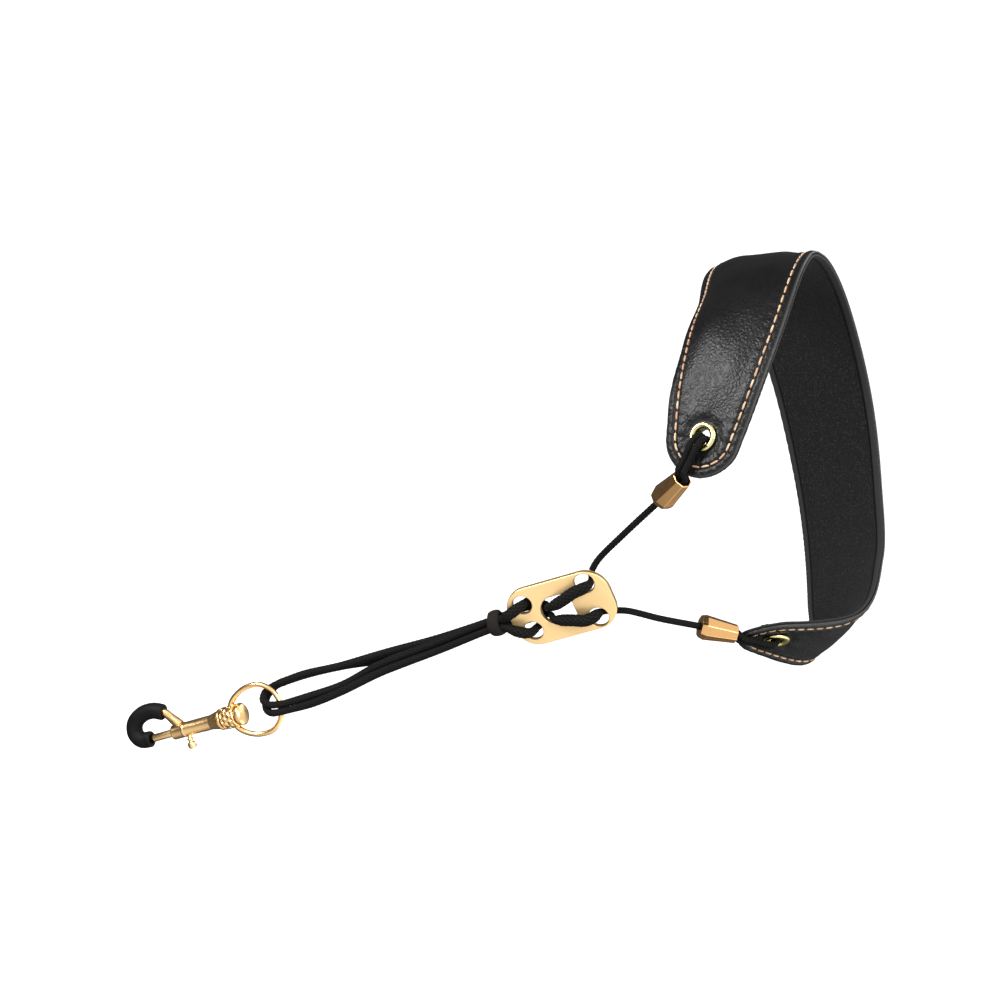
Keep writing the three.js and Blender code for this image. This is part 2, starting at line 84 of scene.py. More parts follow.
# ---- camera: front left, 20 degrees above the level, rolled with the hanging strap ----
def make_camera():
    data = bpy.data.cameras.new("camera")
    data.sensor_width = CAMERA_SENSOR
    data.lens = CAMERA_LENS
    data.shift_x, data.shift_y = CAMERA_SHIFT
    data.clip_start, data.clip_end = 0.05, 200
    cam = bpy.data.objects.new("camera", data)
    bpy.context.scene.collection.objects.link(cam)
    right = Vector(CAMERA_RIGHT)
    back = -Vector(CAMERA_AHEAD)
    up = back.cross(right)
    place = Matrix((right, up, back)).transposed().to_4x4()
    place.translation = Vector(CAMERA_PLACE)
    cam.matrix_world = place
    bpy.context.scene.camera = cam


make_camera()


# ---- curves ----
def spline(points, per_span=24, closed=False, uniform=False):
    """Points along a Catmull-Rom curve through `points`."""
    p = np.asarray(points, float)
    if closed:
        ext = np.vstack([p[-1], p, p[0], p[1]])
    else:
        ext = np.vstack([2 * p[0] - p[1], p, 2 * p[-1] - p[-2]])
    u = np.linspace(0, 1, per_span, endpoint=False)[:, None]
    out = []
    for i in range(len(ext) - 3):
        p0, p1, p2, p3 = ext[i:i + 4]
        if uniform:
            m1, m2 = (p2 - p0) / 2, (p3 - p1) / 2
        else:
            a, b, c = (max(np.linalg.norm(e) ** 0.5, 1e-6) for e in (p1 - p0, p2 - p1, p3 - p2))
            m1 = ((p1 - p0) / a - (p2 - p0) / (a + b) + (p2 - p1) / b) * b
            m2 = ((p2 - p1) / b - (p3 - p1) / (b + c) + (p3 - p2) / c) * b
        out.append(
            (2 * u**3 - 3 * u**2 + 1) * p1 + (u**3 - 2 * u**2 + u) * m1
            + (3 * u**2 - 2 * u**3) * p2 + (u**3 - u**2) * m2
        )
    if not closed:
        out.append(p[-1:])
    return np.vstack(out)


def lengths(points):
    return np.concatenate([[0], np.cumsum(np.linalg.norm(np.diff(points, axis=0), axis=1))])


def resample(points, step):
    d = lengths(points)
    n = max(3, int(round(d[-1] / step)))
    s = np.linspace(0, d[-1], n + 1)
    return np.column_stack([np.interp(s, d, points[:, k]) for k in range(points.shape[1])])


def unit(v):
    v = np.asarray(v, float)
    return v / np.maximum(np.linalg.norm(v, axis=-1, keepdims=True), 1e-9)


def smoothstep(x, a, b):
    t = np.clip((x - a) / (b - a), 0, 1)
    return t * t * (3 - 2 * t)


def bump_at(x, centre, width):
    return np.exp(-(((x - centre) / width) ** 2))


# ---- meshes ----
def piece(name, verts, faces, material, smooth=True):
    mesh = bpy.data.meshes.new(name)
    mesh.from_pydata((np.asarray(verts) * MM).tolist(), [], faces)
    mesh.validate()
    mesh.materials.append(material)
    mesh.shade_smooth() if smooth else mesh.shade_flat()
    obj = bpy.data.objects.new(name, mesh)
    bpy.context.scene.collection.objects.link(obj)
    return obj


def grid_faces(rows, cols, wrap=False, offset=0, flip=False):
    out = []
    last = cols if wrap else cols - 1
    for i in range(rows - 1):
        for j in range(last):
            a = offset + i * cols + j
            b = offset + i * cols + (j + 1) % cols
            f = (a, b, b + cols, a + cols)
            out.append(f[::-1] if flip else f)
    return out


def sweep_frames(path, start=None):
    t = unit(np.gradient(path, axis=0))
    guide = np.array(start if start is not None else (0.3, 0.2, 0.93), float)
    n = np.zeros_like(path)
    for i in range(len(path)):
        guide = guide - t[i] * guide.dot(t[i])
        guide /= np.linalg.norm(guide)
        n[i] = guide
    return n, np.cross(t, n)


def sweep(path, radii, around, closed=False, flat=1.0, start=None):
    """A tube along `path`; radii is one number, one per point, or one per point and angle."""
    n, b = sweep_frames(path, start)
    angle = np.arange(around) / around * TAU
    r = np.broadcast_to(np.asarray(radii, float).reshape(
        -1, 1 if np.ndim(radii) < 2 else around), (len(path), around))
    ring = (np.cos(angle)[None, :, None] * n[:, None] * flat
            + np.sin(angle)[None, :, None] * b[:, None]) * r[:, :, None]
    verts = (path[:, None] + ring).reshape(-1, 3)
    faces = grid_faces(len(path), around, wrap=True)
    if closed:
        first = (len(path) - 1) * around
        faces += [(first + j, first + (j + 1) % around, (j + 1) % around, j) for j in range(around)]
    else:
        faces.append(tuple(range(around))[::-1])
        faces.append(tuple((len(path) - 1) * around + j for j in range(around)))
    return verts, faces


def lathe(profile, around, dent=None, closed=False):
    """Turns a list of (radius, height) about +Z. dent(angle, radius, height) lowers the radius."""
    p = np.asarray(profile, float)
    angle = np.arange(around) / around * TAU
    r = np.repeat(p[:, :1], around, 1)
    z = np.repeat(p[:, 1:], around, 1)
    a = np.repeat(angle[None], len(p), 0)
    if dent is not None:
        r = r - dent(a, r, z)
    verts = np.stack([r * np.cos(a), r * np.sin(a), z], -1).reshape(-1, 3)
    faces = grid_faces(len(p), around, wrap=True)
    if closed:
        first = (len(p) - 1) * around
        faces += [(first + j, first + (j + 1) % around, (j + 1) % around, j) for j in range(around)]
    else:
        faces.append(tuple(range(around))[::-1])
        faces.append(tuple((len(p) - 1) * around + j for j in range(around)))
    return verts, faces


def rounded(profile, radius=0.25, steps=3):
    """Rounds the corners of an open (radius, height) profile."""
    p = np.asarray(profile, float)
    out = [p[0]]
    for a, b, c in zip(p[:-2], p[1:-1], p[2:]):
        la, lc = np.linalg.norm(a - b), np.linalg.norm(c - b)
        if la < 1e-6 or lc < 1e-6:
            continue
        k = min(radius, la / 2.2, lc / 2.2)
        q0, q1 = b + (a - b) / la * k, b + (c - b) / lc * k
        for i in range(steps + 1):
            t = i / steps
            out.append((1 - t) ** 2 * q0 + 2 * t * (1 - t) * b + t * t * q1)
    out.append(p[-1])
    return np.array(out)


def dense(profile, step):
    p = np.asarray(profile, float)
    out = [p[0]]
    for a, b in zip(p[:-1], p[1:]):
        n = max(1, int(math.ceil(np.linalg.norm(b - a) / step)))
        out += [a + (b - a) * (i + 1) / n for i in range(n)]
    return np.array(out)


def axis_frame(axis):
    z = unit(axis)
    q = Vector((0, 0, 1)).rotation_difference(Vector(z))
    return np.array(q.to_matrix())


def placed(verts, origin, axis):
    return np.asarray(verts) @ axis_frame(axis).T + np.asarray(origin, float)


def yaw_frame(origin, degrees):
    c, s = math.cos(math.radians(degrees)), math.sin(math.radians(degrees))
    turn = np.array([[c, -s, 0], [s, c, 0], [0, 0, 1]])
    return lambda p: np.asarray(p, float) @ turn.T + np.asarray(origin, float)


on_plate = yaw_frame(PLATE_CENTRE, PLATE_YAW)
on_snap = yaw_frame(SNAP_ORIGIN, SNAP_YAW)


# ---- materials ----
class Shade:
    """A small helper that builds one Principled material out of procedural nodes."""

    def __init__(self, name, rough, metallic=0.0, **sockets):
        self.material = bpy.data.materials.new(name)
        self.material.use_nodes = True
        self.tree = self.material.node_tree
        self.main = self.tree.nodes["Principled BSDF"]
        self.main.inputs["Roughness"].default_value = rough
        self.main.inputs["Metallic"].default_value = metallic
        for key, value in sockets.items():
            self.main.inputs[key.replace("_", " ")].default_value = value
        self.place = self.node("ShaderNodeTexCoord").outputs["Object"]
        self.normal = None

    def node(self, kind, **props):
        n = self.tree.nodes.new(kind)
        for key, value in props.items():
            setattr(n, key, value)
        return n

    def link(self, a, b):
        self.tree.links.new(a, b)

    def stretched(self, scale):
        n = self.node("ShaderNodeMapping")
        n.inputs["Scale"].default_value = scale
        self.link(self.place, n.inputs["Vector"])
        return n.outputs["Vector"]

    def noise(self, scale, detail=4.0, rough=0.55, vector=None, distortion=0.0):
        n = self.node("ShaderNodeTexNoise")
        n.inputs["Scale"].default_value = scale
        n.inputs["Detail"].default_value = detail
        n.inputs["Roughness"].default_value = rough
        n.inputs["Distortion"].default_value = distortion
        self.link(vector or self.place, n.inputs["Vector"])
        return n.outputs["Fac"]

    def cells(self, scale, feature="F1", vector=None):
        n = self.node("ShaderNodeTexVoronoi", feature=feature)
        n.inputs["Scale"].default_value = scale
        self.link(vector or self.place, n.inputs["Vector"])
        return n.outputs["Distance"]

    def wave(self, scale, distortion=0.0, vector=None, direction="X"):
        n = self.node("ShaderNodeTexWave", bands_direction=direction)
        n.inputs["Scale"].default_value = scale
        n.inputs["Distortion"].default_value = distortion
        self.link(vector or self.place, n.inputs["Vector"])
        return n.outputs["Fac"]

    def attribute(self, name):
        return self.node("ShaderNodeAttribute", attribute_name=name).outputs["Fac"]

    def ramp(self, fac, stops):
        n = self.node("ShaderNodeValToRGB")
        band = n.color_ramp
        while len(band.elements) < len(stops):
            band.elements.new(0.5)
        for element, (at, colour) in zip(band.elements, stops):
            element.position = at
            element.color = colour if len(colour) == 4 else (*colour, 1)
        self.link(fac, n.inputs["Fac"])
        return n.outputs["Color"]

    def mix(self, fac, a, b, mode="MIX"):
        n = self.node("ShaderNodeMix", data_type="RGBA", blend_type=mode)
        for value, at in ((fac, 0), (a, 6), (b, 7)):
            if isinstance(value, bpy.types.NodeSocket):
                self.link(value, n.inputs[at])
            elif at == 0:
                n.inputs[at].default_value = value
            else:
                n.inputs[at].default_value = (*value, 1)
        return n.outputs[2]

    def span(self, fac, low, high, a=0.0, b=1.0):
        n = self.node("ShaderNodeMapRange")
        for key, value in (("From Min", a), ("From Max", b), ("To Min", low), ("To Max", high)):
            n.inputs[key].default_value = value
        self.link(fac, n.inputs["Value"])
        return n.outputs["Result"]

    def bump(self, height, strength, distance):
        n = self.node("ShaderNodeBump")
        n.inputs["Strength"].default_value = strength
        n.inputs["Distance"].default_value = distance
        self.link(height, n.inputs["Height"])
        if self.normal is not None:
            self.link(self.normal, n.inputs["Normal"])
        self.normal = n.outputs["Normal"]
        return self

    def done(self, colour, roughness=None):
        self.link(colour, self.main.inputs["Base Color"])
        if roughness is not None:
            self.link(roughness, self.main.inputs["Roughness"])
        if self.normal is not None:
            self.link(self.normal, self.main.inputs["Normal"])
        return self.material


def leather_material():
    m = Shade("leather", 0.42, Specular_IOR_Level=0.24)
    warp = m.noise(140, 3, 0.5)
    shift = m.node("ShaderNodeMix", data_type="VECTOR")
    shift.inputs[0].default_value = 0.0016
    m.link(m.place, shift.inputs[4])
    m.link(warp, shift.inputs[5])
    pebbles = m.cells(560, "DISTANCE_TO_EDGE", shift.outputs[1])
    fine = m.noise(2600, 5, 0.6)
    creases = m.noise(260, 6, 0.65, m.stretched((1, 1, 2.4)), 0.7)
    m.bump(m.span(pebbles, 0, 1, 0, 0.45), 0.5, 0.00024)
    m.bump(creases, 0.22, 0.0003)
    m.bump(fine, 0.12, 0.00005)
    tone = m.ramp(m.noise(60, 4), [(0.3, (0.0028, 0.0028, 0.003)), (0.7, (0.0055, 0.0055, 0.006))])
    # Lighter along the cut edge: partly the edge's own lighter tone, partly a painted highlight for the sheen
    # on the rounded edge.
    edge = m.ramp(m.attribute("edge"), [(0.0, (0.045, 0.043, 0.042)), (0.3, (0.006, 0.006, 0.0062))])
    where = m.span(m.attribute("edge"), 1, 0, 0.1, 0.6)
    colour = m.mix(where, tone, edge)
    return m.done(colour, m.span(creases, 0.34, 0.46, 0.3, 0.7))


def lining_material():
    m = Shade("lining", 0.95, Specular_IOR_Level=0.06, Sheen_Weight=0.06, Sheen_Roughness=0.55)
    nap = m.noise(2400, 6, 0.7)
    specks = m.noise(1500, 2, 0.5)
    m.bump(nap, 0.6, 0.0002).bump(m.noise(420, 3), 0.15, 0.0004)
    tone = m.ramp(specks, [
        (0.36, (0.0045, 0.0045, 0.0047)), (0.6, (0.0095, 0.0095, 0.0098)), (0.75, (0.04, 0.04, 0.04)),
    ])
    groove = m.span(m.attribute("seam"), 0.0, 1.0, 0.15, 0.8)
    border = m.mix(m.attribute("border"), tone, (0.022, 0.022, 0.023))
    return m.done(m.mix(groove, border, (0.0008, 0.0008, 0.0008)))


def foam_material():
    m = Shade("foam", 0.95)
    cell = m.cells(1400)
    m.bump(cell, 0.8, 0.0004)
    return m.done(m.ramp(cell, [(0.0, (0.03, 0.03, 0.033)), (1.0, (0.09, 0.09, 0.1))]))


def thread_material():
    m = Shade("thread", 0.62, Sheen_Weight=0.3, Specular_IOR_Level=0.4)
    ply = m.wave(900, 2.0, direction="DIAGONAL")
    m.bump(ply, 0.6, 0.0002)
    tone = m.ramp(m.noise(150, 2), [
        (0.35, (0.42, 0.2, 0.11)), (0.5, (0.6, 0.38, 0.21)), (0.68, (0.78, 0.6, 0.4)),
    ])
    return m.done(m.mix(m.span(ply, 0, 0.3), tone, (0.32, 0.17, 0.09)))


def metal_material(name, light, dark, rough, grain=900, patina=0.35, metallic=1.0):
    m = Shade(name, rough, metallic)
    wear = m.noise(grain * 0.12, 5, 0.6)
    micro = m.noise(grain, 4, 0.6, m.stretched((1, 1, 0.12)))
    m.bump(micro, 0.03, 0.00008)
    tone = m.mix(m.span(wear, 0, patina, 0.45, 0.8), light, dark)
    # Painted shade: where the vertex attribute below is set (the plate's side faces, the snap's dimples), the
    # colour is darkened towards 0.4 of the dark tone.
    tone = m.mix(m.span(m.attribute("painted_shade"), 0, 0.9), tone, tuple(0.4 * c for c in dark))
    return m.done(tone, m.span(micro, rough * 0.75, rough * 1.35, 0.3, 0.7))


def cord_material():
    m = Shade("cord", 0.8, Specular_IOR_Level=0.1)
    fibre = m.noise(2600, 5, 0.7)
    m.bump(fibre, 0.6, 0.0002)
    tone = m.ramp(fibre, [
        (0.3, (0.0045, 0.0042, 0.004)), (0.55, (0.011, 0.0102, 0.0098)), (0.75, (0.032, 0.03, 0.028)),
    ])
    # Painted shade: the braid's valleys between the strands are painted near black, and the crowns keep the
    # fibre tone.
    return m.done(m.mix(m.span(m.attribute("ridge"), 0, 1, 0.15, 0.9), (0.0006, 0.0005, 0.0005), tone))


def keeper_material():
    m = Shade("keeper", 0.85, Specular_IOR_Level=0.12)
    fibre = m.noise(2200, 5, 0.7)
    m.bump(fibre, 0.6, 0.0002)
    # Painted shade: the knit's valleys are painted darker than its raised loops.
    return m.done(m.mix(m.span(m.attribute("ridge"), 0, 1), (0.004, 0.0035, 0.003), m.ramp(
        fibre, [(0.3, (0.012, 0.0095, 0.008)), (0.7, (0.034, 0.028, 0.024))])))


def rubber_material():
    m = Shade("rubber", 0.6, Specular_IOR_Level=0.13)
    grain = m.noise(1500, 4, 0.6)
    m.bump(grain, 0.3, 0.00015)
    return m.done(m.ramp(m.noise(220, 3), [(0.3, (0.002, 0.002, 0.002)), (0.7, (0.0045, 0.0045, 0.0045))]),
                  m.span(grain, 0.5, 0.72, 0.3, 0.7))


LEATHER = leather_material()
LINING = lining_material()
FOAM = foam_material()
THREAD = thread_material()
EYELET = metal_material("eyelet_brass", (0.86, 0.76, 0.32), (0.6, 0.48, 0.16), 0.2)
BRONZE = metal_material("bronze", (0.86, 0.49, 0.2), (0.55, 0.28, 0.09), 0.16, 700, 0.4)
CORD = cord_material()
KEEPER = keeper_material()
PLATE = metal_material("plate_gold", (1.0, 0.7, 0.335), (0.94, 0.62, 0.27), 0.38, 1200, 0.2, 0.72)
SNAP = metal_material("snap_gold", (1.0, 0.66, 0.3), (0.72, 0.4, 0.14), 0.22, 1100, 0.4)
RUBBER = rubber_material()
STEEL = metal_material("spring_steel", (0.6, 0.6, 0.61), (0.4, 0.4, 0.41), 0.3)


def store(obj, name, values):
    a = obj.data.attributes.new(name, "FLOAT", "POINT")
    a.data.foreach_set("value", np.asarray(values, np.float32).ravel())


def finish_piece(obj, nodes=(), body=None):
    if nodes:
        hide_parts(*nodes)
    if body:
        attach(obj, body)
    return obj


# ---- pad frame ----
rail_line = spline(RAIL, 400, uniform=True)
rail_s = lengths(rail_line)
PAD_LENGTH = rail_s[-1]
across_line = spline(ACROSS, 400, uniform=True)
rail_tangent = unit(np.gradient(rail_line, axis=0))


def pick(table, s):
    return np.stack([np.interp(s, rail_s, table[:, k]) for k in range(3)], -1)


def pad_frame(s):
    s = np.clip(s, 0, PAD_LENGTH)
    point, tangent, w = pick(rail_line, s), unit(pick(rail_tangent, s)), pick(across_line, s)
    w = unit(w - (w * tangent).sum(-1, keepdims=True) * tangent)
    return point, tangent, w, np.cross(w, tangent)


def half_width(s, inset=0.0):
    d = np.maximum(np.minimum(s, PAD_LENGTH - s) - inset, 0)
    t = np.minimum((d + inset) / PAD_TAPER, 1)
    taper = PAD_HALF_WIDTH * (0.56 + 0.44 * np.sin(t * math.pi / 2)) - inset
    k = (PAD_NOSE - np.minimum(d, PAD_NOSE)) / PAD_NOSE
    return np.maximum(taper * np.sqrt(1 - k * k), 2.2)


def crown(s, x):
    end = np.minimum(s, PAD_LENGTH - s)
    side = half_width(s) - np.abs(x)
    return PUFF * smoothstep(side, 4, 17) * smoothstep(end, 26, 70)


def droop(s, x):
    """The lower rim rolls in towards the wearer along the left side."""
    near_rim = np.clip(1 - (half_width(s) + x) / 12, 0, 1) ** 2
    depth = 3.4 + 1.5 * (1 - smoothstep(s, 112, 138))
    return depth * near_rim * smoothstep(s, 26, 56) * (1 - smoothstep(s, 175, 235))


def pad_point(s, x, height):
    point, _, w, n = pad_frame(s)
    x = np.asarray(x)
    rise = np.asarray(height) - droop(s, x)
    return point + w * x[..., None] + n * rise[..., None]


# The pad's outline laid flat, as points (s, x), once round.
def outline():
    u = np.linspace(0, 1, 1400)
    s = PAD_LENGTH * (0.25 * u + 0.75 * (0.5 - 0.5 * np.cos(math.pi * u)))
    upper = np.column_stack([s, half_width(s)])
    lower = np.column_stack([s[::-1], -half_width(s[::-1])])
    loop = np.vstack([upper, lower, upper[:1]])
    return resample(loop, 0.5)


OUTLINE = outline()
OUTLINE_P = lengths(OUTLINE)


def from_edge(s, x):
    """Distance from each (s, x) to the outline, and how far round the outline it is."""
    q = np.column_stack([np.ravel(s), np.ravel(x)])
    dist, where = np.empty(len(q)), np.empty(len(q))
    for i in range(0, len(q), 4000):
        d2 = ((q[i:i + 4000, None] - OUTLINE[None]) ** 2).sum(-1)
        k = d2.argmin(1)
        dist[i:i + 4000] = np.sqrt(d2[np.arange(len(k)), k])
        where[i:i + 4000] = OUTLINE_P[k]
    return dist.reshape(np.shape(s)), where.reshape(np.shape(s))


EYELETS_S = {"left": EYELET_FROM_TIP, "right": PAD_LENGTH - EYELET_FROM_TIP}


def waves(s, x, seed):
    """Slow, low swells that a worn pad has."""
    rng = np.random.default_rng(seed)
    out = np.zeros(np.shape(s))
    for _ in range(14):
        a, b = rng.uniform(-0.34, 0.34, 2)
        out += np.sin(a * s + b * x + rng.uniform(0, TAU))
    return out / 14**0.5


def leather_top(s, x, e, p):
    """Height of the leather's outer face above the lining face."""
    h = LEATHER_BASE + LEATHER_T + crown(s, x)
    phase = TAU * p / STITCH_PITCH
    h = h - 0.42 * bump_at(e, STITCH_INSET, 0.8)
    h = h - 0.3 * bump_at(e, STITCH_INSET, 0.7) * (0.5 + 0.5 * np.cos(phase))
    h = h + 0.34 * bump_at(e, 2.2, 1.2) + 0.12 * bump_at(e, 2.6, 0.9) * np.cos(phase + math.pi)
    h = h + 0.22 * bump_at(e, 6.4, 1.5) * (0.7 - 0.5 * np.cos(phase))
    h = h + 0.16 * waves(s, x, 5) * smoothstep(e, 5, 12)
    for at in EYELETS_S.values():
        r = np.hypot(s - at, x)
        turn = np.arctan2(x, s - at)
        h = h - 0.75 * bump_at(r, 6.2, 2.4) + 0.12 * bump_at(r, 10, 3) * np.cos(9 * turn + 1)
    return h


def edge_round(h_mid, h, e, r):
    """Brings a face at height h down to h_mid over the last r of the edge, as a quarter round."""
    k = np.clip(1 - e / r, 0, 1)
    return h_mid + (h - h_mid) * np.sqrt(1 - k * k)


def pad_grid(rows, edge_cols, mid_cols):
    u = np.linspace(0, 1, rows)
    s = PAD_LENGTH * (0.55 * u + 0.45 * (0.5 - 0.5 * np.cos(math.pi * u)))
    edge = 7.0
    s = np.repeat(s[:, None], 2 * edge_cols + mid_cols + 1, 1)
    half = half_width(s[:, 0])
    band = np.minimum(edge, half * 0.7)
    x = np.empty_like(s)
    for i in range(rows):
        e = band[i] * (np.linspace(0, 1, edge_cols, endpoint=False) ** 1.25)
        mid = np.linspace(-(half[i] - band[i]), half[i] - band[i], mid_cols + 1)
        x[i] = np.concatenate([-(half[i] - e), mid, (half[i] - e)[::-1]])
    return s, x


def shell(name, material, s, x, lower, upper):
    """A closed sheet over the grid: two faces that meet along the outline."""
    rows, cols = s.shape
    top = pad_point(s, x, upper).reshape(-1, 3)
    low = pad_point(s, x, lower).reshape(-1, 3)
    count = rows * cols
    faces = grid_faces(rows, cols) + grid_faces(rows, cols, offset=count, flip=True)
    rim = [i * cols for i in range(rows)]
    rim += [(rows - 1) * cols + j for j in range(1, cols)]
    rim += [i * cols + cols - 1 for i in range(rows - 2, -1, -1)]
    rim += [j for j in range(cols - 2, 0, -1)]
    for a, b in zip(rim, rim[1:] + rim[:1]):
        faces.append((a, a + count, b + count, b)[::-1])
    return piece(name, np.vstack([top, low]), faces, material)


def cut_holes(obj, radius):
    for at in EYELETS_S.values():
        point, _, _, n = pad_frame(np.array(at))
        verts, faces = lathe([(radius, -9), (radius, 9)], 48)
        tool = piece("tool", placed(verts, point, n), faces, LEATHER)
        cutter = obj.modifiers.new("hole", "BOOLEAN")
        cutter.operation, cutter.solver, cutter.object = "DIFFERENCE", "EXACT", tool
        bpy.context.view_layer.update()
        done = bpy.data.meshes.new_from_object(obj.evaluated_get(bpy.context.evaluated_depsgraph_get()))
        obj.modifiers.clear()
        obj.data = done
        bpy.data.objects.remove(tool)


def build_leather():
    s, x = pad_grid(640, 18, 34)
    e, p = from_edge(s, x)
    mid = LEATHER_BASE + LEATHER_T * 0.5
    top = edge_round(mid, leather_top(s, x, e, p), e, 1.1)
    low = edge_round(mid, LEATHER_BASE + crown(s, x) - 0.3 * bump_at(e, 6.4, 2), e, 0.6)
    obj = shell("pad_outer_leather_skin", LEATHER, s, x, np.maximum(low, LEATHER_BASE), top)
    store(obj, "edge", np.tile(np.clip(e / 3, 0, 1).ravel(), 2))
    cut_holes(obj, EYELET_HOLE_R)
    finish_piece(obj, ["pad_outer_leather"], "pad")
    return obj


def build_lining():
    s, x = pad_grid(560, 16, 26)
    e, _ = from_edge(s, x)
    mid = LINING_T * 0.5
    seam = bump_at(e, 3.5, 0.55)
    low = 0.42 * seam - 0.1 * bump_at(e, 2, 1.0) - 0.06 * waves(s, x, 9) * smoothstep(e, 4, 9)
    low = edge_round(mid, low, e, 0.5)
    top = edge_round(mid, np.full_like(s, LINING_T), e, 0.4)
    obj = shell("pad_lining_cloth", LINING, s, x, low, top)
    face = np.concatenate([np.zeros(s.size), np.ones(s.size)])
    store(obj, "seam", np.tile(bump_at(e, 3.5, 0.5).ravel(), 2) * face)
    store(obj, "border", np.tile((1 - smoothstep(e, 2.4, 3.4)).ravel(), 2))
    cut_holes(obj, EYELET_HOLE_R)
    finish_piece(obj, ["pad_lining"], "pad")
    return obj


def build_stitches():
    """Single stitches in the leather's groove, one pitch apart round the outline."""
    d = unit(np.gradient(OUTLINE, axis=0))
    inward = np.column_stack([d[:, 1], -d[:, 0]])
    line = OUTLINE + inward * STITCH_INSET
    keep = from_edge(line[:, 0], line[:, 1])[0] > STITCH_INSET - 0.25
    line = line[keep]
    line = np.vstack([line, line[:1]])
    kernel = np.ones(7) / 7
    wrapped = np.vstack([line[-8:-1], line, line[1:8]])
    line = np.column_stack([np.convolve(wrapped[:, k], kernel, "same")[7:-7] for k in range(2)])
    along = lengths(line)
    count = int(round(along[-1] / STITCH_PITCH))
    pitch = along[-1] / count
    verts, faces = [], []
    for k in range(count):
        t = np.linspace(-0.5, 0.5, 9)
        at = (k + 0.5) * pitch + t * STITCH_LENGTH
        q = np.column_stack([np.interp(at % along[-1], along, line[:, i]) for i in range(2)])
        e, p = from_edge(q[:, 0], q[:, 1])
        base = leather_top(q[:, 0], q[:, 1], e, np.full_like(p, STITCH_PITCH / 2))
        lift = 0.34 * (1 - (2 * t) ** 4) - 0.14
        path = pad_point(q[:, 0], q[:, 1], base + lift)
        r = 0.41 * np.sqrt(np.clip(1 - (2 * t * 0.97) ** 6, 0.02, 1))
        v, f = sweep(path, r, 8)
        faces += [tuple(i + len(verts) * len(v) for i in face) for face in f]
        verts.append(v)
    obj = piece("pad_stitches", np.vstack(verts), faces, THREAD)
    return finish_piece(obj, ["pad_stitching_thread"], "pad")


# ---- cords ----
def braid(name, path, diameter, swell=None, step=0.3, around=26, carriers=4, pitch=2.2):
    """A braided cord as a mesh: two sets of strands wind opposite ways and cross as diamonds."""
    pts = resample(np.asarray(path), step)
    u = lengths(pts)[:, None]
    angle = (np.arange(around) / around * TAU)[None]
    k = math.pi / pitch
    ridge = np.abs(np.sin(carriers * angle + k * u) * np.sin(carriers * angle - k * u)) ** 0.7
    scale = 1.0 if swell is None else swell(np.linspace(0, 1, len(pts)))[:, None]
    r = diameter / 2 * scale - 0.16 + 0.26 * ridge
    verts, faces = sweep(pts, r, around)
    obj = piece(name, verts, faces, CORD)
    store(obj, "ridge", ridge)
    return obj, pts


def metres(points):
    return [tuple(float(c) * MM for c in p) for p in points]


LEGS = {
    "left": dict(k=-1, mouth=(-49.3, -143.3, -32), behind=[(14.4, 3.9, 21.6), (11.2, 3.6, 17.9)],
                 entry=[(10.5, 3.4, 17.2), (8.9, 2.3, 17.1)], dip=[(7.7, -0.4, 16.7), (7.4, -3.4, 14.6)]),
    "right": dict(k=1, mouth=(45.6, -133.2, -48.2), behind=[(11.2, 3.9, 25), (9.3, 3.6, 19.8)],
                  entry=[(9.1, 3.5, 19), (8.0, 2.5, 16.4)], dip=[(6.9, -0.4, 14.4), (6.8, -3.4, 12.4)]),
}
for leg in LEGS.values():
    leg["behind"] = [on_plate((p[0] * leg["k"], p[1], p[2])) for p in leg["behind"]]
    leg["mouth"] = np.array(leg["mouth"], float)
    leg["axis"] = unit(leg["behind"][0] - leg["mouth"])


def build_leg(side, leg):
    start = leg["mouth"] + leg["axis"] * 10.3
    leave = leg["mouth"] + leg["axis"] * (BELL_LENGTH + 1)
    mid = (leave + leg["behind"][0]) / 2 + np.array((0, 0, -0.8))
    obj, pts = braid(f"{side}_leg_braid", spline([start, leave, mid, *leg["behind"]]), CORD_D)
    finish_piece(obj, [f"{side}_leg_cord"])
    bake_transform(obj)


def build_crossing(side, leg):
    pts = [
        *leg["entry"], *leg["dip"], (6.8, -4.4, 9), (5.1, -4.5, 4),
        (3.7, -4.2, -1), (2.9, -3.0, -4.4), (2.5, 0.4, -5.9),
        (2.6, 3.4, -8.3), (2.8, 3.5, -15), (3, 3.5, -22.2),
    ]
    path = spline([on_plate((p[0] * leg["k"], p[1], p[2])) for p in pts])
    obj, _ = braid(f"{side}_crossing_braid", path, CORD_D,
                   swell=lambda t: 1 + 0.85 * smoothstep(t, 0.07, 0.2) * (1 - smoothstep(t, 0.46, 0.6)))
    return finish_piece(obj, [f"{side}_plate_crossing_cord"], "adjuster")


def build_bridge():
    def half(k, *ends):
        shared = [(6.3, -2.4, -17.2), (6.2, 1.6, -14.4), (5.8, 4.9, -12.5), (3, 6.8, -11.8)]
        return [*ends, *[(x * k, y, z) for x, y, z in shared]]

    left = half(-1, (-3.3, -1.6, -28.2), (-3.6, -3.0, -25.6), (-5.1, -4.2, -21.6))
    right = half(1, (0.1, -2.2, -28.4), (0.6, -3.4, -25.6), (3.3, -4.3, -21.6))
    path = spline([on_plate(p) for p in [*left, (0, 7, -11.8), *right[::-1]]])
    obj, _ = braid("plate_bridge_braid", path, CORD_D,
                   swell=lambda t: 1.15 + 0.6 * bump_at(np.abs(t - 0.5), 0.33, 0.1))
    return finish_piece(obj, ["plate_bridge_cord"], "adjuster")


